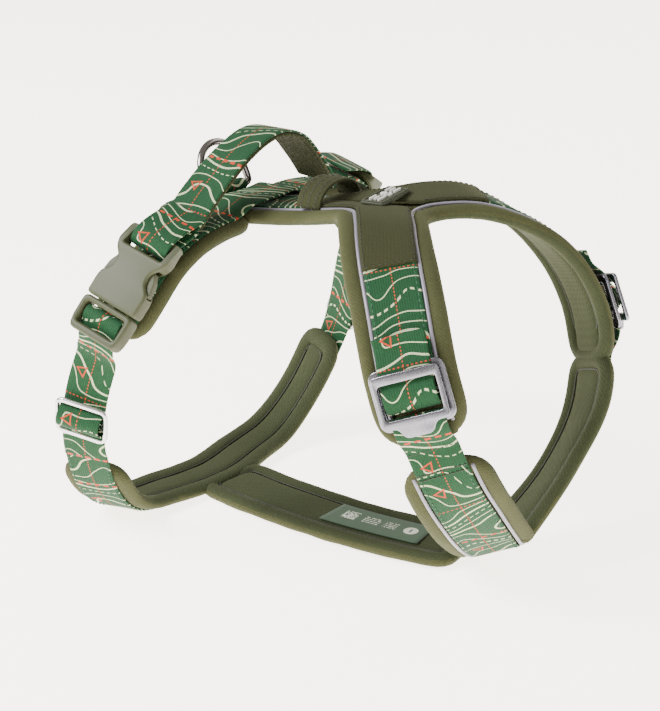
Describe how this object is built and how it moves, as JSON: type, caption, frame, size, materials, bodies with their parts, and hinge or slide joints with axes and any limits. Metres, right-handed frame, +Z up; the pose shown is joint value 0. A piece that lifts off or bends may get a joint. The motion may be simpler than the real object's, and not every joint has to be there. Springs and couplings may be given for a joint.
{
  "type": "no pull dog harness",
  "caption": "Padded dog harness with a Y-shaped neck loop, a girth loop with side-release buckles, metal adjusters, a top handle and a leash ring.",
  "frame": {"origin": "on the floor, under the middle of the harness", "axes": "+X forward towards the dog's nose, +Y to the dog's left, +Z up"},
  "size_m": [0.2648, 0.249, 0.2191],
  "materials": {
    "padding": "woven nylon over foam",
    "patch": "plain nylon",
    "lining": "ribbed, stitched",
    "webbing": "printed polyester webbing",
    "piping": "reflective tape",
    "buckle": "moulded acetal",
    "aluminium": "tumbled, anodised",
    "steel": "polished wire",
    "badge": "soft moulded",
    "label": "satin tape"
  },
  "bodies": {
    "harness": {"back_pad": "padding", "badge": "badge", "care_label": "label", "chest_pad": "padding", "chest_piping": "piping", "chest_webbing": "webbing", "d_ring_keeper": "webbing", "girth_pad": "padding", "girth_webbing": "webbing", "handle_lining": "lining", "handle_webbing": "webbing", "keeper_loop": "patch", "left_adjuster_frame": "aluminium", "left_adjuster_webbing": "webbing", "left_female_buckle": "buckle", "left_female_loop": "webbing", "left_girth_strap": "webbing", "left_lower_webbing": "webbing", "left_patch_arm": "patch", "left_shoulder_pad": "padding", "left_shoulder_piping": "piping", "left_shoulder_webbing": "webbing", "left_wing_pad": "padding", "right_adjuster_frame": "aluminium", "right_adjuster_webbing": "webbing", "right_female_buckle": "buckle", "right_female_loop": "webbing", "right_girth_strap": "webbing", "right_lower_webbing": "webbing", "right_patch_arm": "patch", "right_shoulder_pad": "padding", "right_shoulder_piping": "piping", "right_shoulder_webbing": "webbing", "right_wing_pad": "padding", "saddle_webbing": "webbing", "spine_piping": "piping", "spine_webbing": "webbing", "sternum_pad": "padding", "sternum_webbing": "webbing", "yoke_pad": "padding", "yoke_patch": "patch"},
    "leash_ring": {"d_ring": "steel"},
    "right_male": {"right_male_buckle": "buckle", "right_male_loop": "webbing"},
    "right_front_prong": {"right_front_prong": "buckle"},
    "right_rear_prong": {"right_rear_prong": "buckle"},
    "right_adjuster_plate": {"right_adjuster_plate": "aluminium"},
    "right_slider": {"right_girth_slider": "aluminium", "right_slider_webbing": "webbing"},
    "left_male": {"left_male_buckle": "buckle", "left_male_loop": "webbing"},
    "left_front_prong": {"left_front_prong": "buckle"},
    "left_rear_prong": {"left_rear_prong": "buckle"},
    "left_adjuster_plate": {"left_adjuster_plate": "aluminium"},
    "left_slider": {"left_girth_slider": "aluminium", "left_slider_webbing": "webbing"}
  },
  "joints": [
    {"name": "leash_ring_swing", "type": "hinge", "parent": "harness", "child": "leash_ring", "pos_m": [-0.08156, 0, 0.1819], "axis": [0, -1, 0], "range_deg": [-30, 55]},
    {"name": "right_buckle_release", "type": "slide", "parent": "harness", "child": "right_male", "axis": [-0.2191, -0.5902, -0.7769], "range_m": [0, 0.026], "deforming": ["right_girth_strap", "right_front_prong", "right_rear_prong"]},
    {"name": "right_front_prong_squeeze", "type": "hinge", "parent": "right_male", "child": "right_front_prong", "pos_m": [-0.05941, -0.10947, 0.14272], "axis": [0.1567, -0.8072, 0.569], "range_deg": [0, 7], "stiffness_Nm_per_rad": 0.35},
    {"name": "right_rear_prong_squeeze", "type": "hinge", "parent": "right_male", "child": "right_rear_prong", "pos_m": [-0.07982, -0.10941, 0.14843], "axis": [-0.1567, 0.8072, -0.569], "range_deg": [0, 7], "stiffness_Nm_per_rad": 0.35},
    {"name": "right_adjuster_tip", "type": "hinge", "parent": "harness", "child": "right_adjuster_plate", "pos_m": [0.10209, -0.0902, 0.14103], "axis": [-0.8298, -0.4807, -0.2836], "range_deg": [0, 28]},
    {"name": "right_slider_travel", "type": "slide", "parent": "harness", "child": "right_slider", "axis": [-0.2762, 0.1999, -0.9401], "range_m": [-0.006, 0.008]},
    {"name": "left_buckle_release", "type": "slide", "parent": "harness", "child": "left_male", "axis": [-0.2191, 0.5902, -0.7769], "range_m": [0, 0.026], "deforming": ["left_girth_strap", "left_front_prong", "left_rear_prong"]},
    {"name": "left_front_prong_squeeze", "type": "hinge", "parent": "left_male", "child": "left_front_prong", "pos_m": [-0.05941, 0.10947, 0.14272], "axis": [-0.1567, -0.8072, -0.569], "range_deg": [0, 7], "stiffness_Nm_per_rad": 0.35},
    {"name": "left_rear_prong_squeeze", "type": "hinge", "parent": "left_male", "child": "left_rear_prong", "pos_m": [-0.07982, 0.10941, 0.14843], "axis": [0.1567, 0.8072, 0.569], "range_deg": [0, 7], "stiffness_Nm_per_rad": 0.35},
    {"name": "left_adjuster_tip", "type": "hinge", "parent": "harness", "child": "left_adjuster_plate", "pos_m": [0.10209, 0.0902, 0.14103], "axis": [0.8298, -0.4807, 0.2836], "range_deg": [0, 28]},
    {"name": "left_slider_travel", "type": "slide", "parent": "harness", "child": "left_slider", "axis": [-0.2762, -0.1999, -0.9401], "range_m": [-0.006, 0.008]}
  ],
  "couplings": [
    {"joint": "right_rear_prong_squeeze", "follows": "right_front_prong_squeeze", "ratio": 1},
    {"joint": "left_rear_prong_squeeze", "follows": "left_front_prong_squeeze", "ratio": 1}
  ]
}
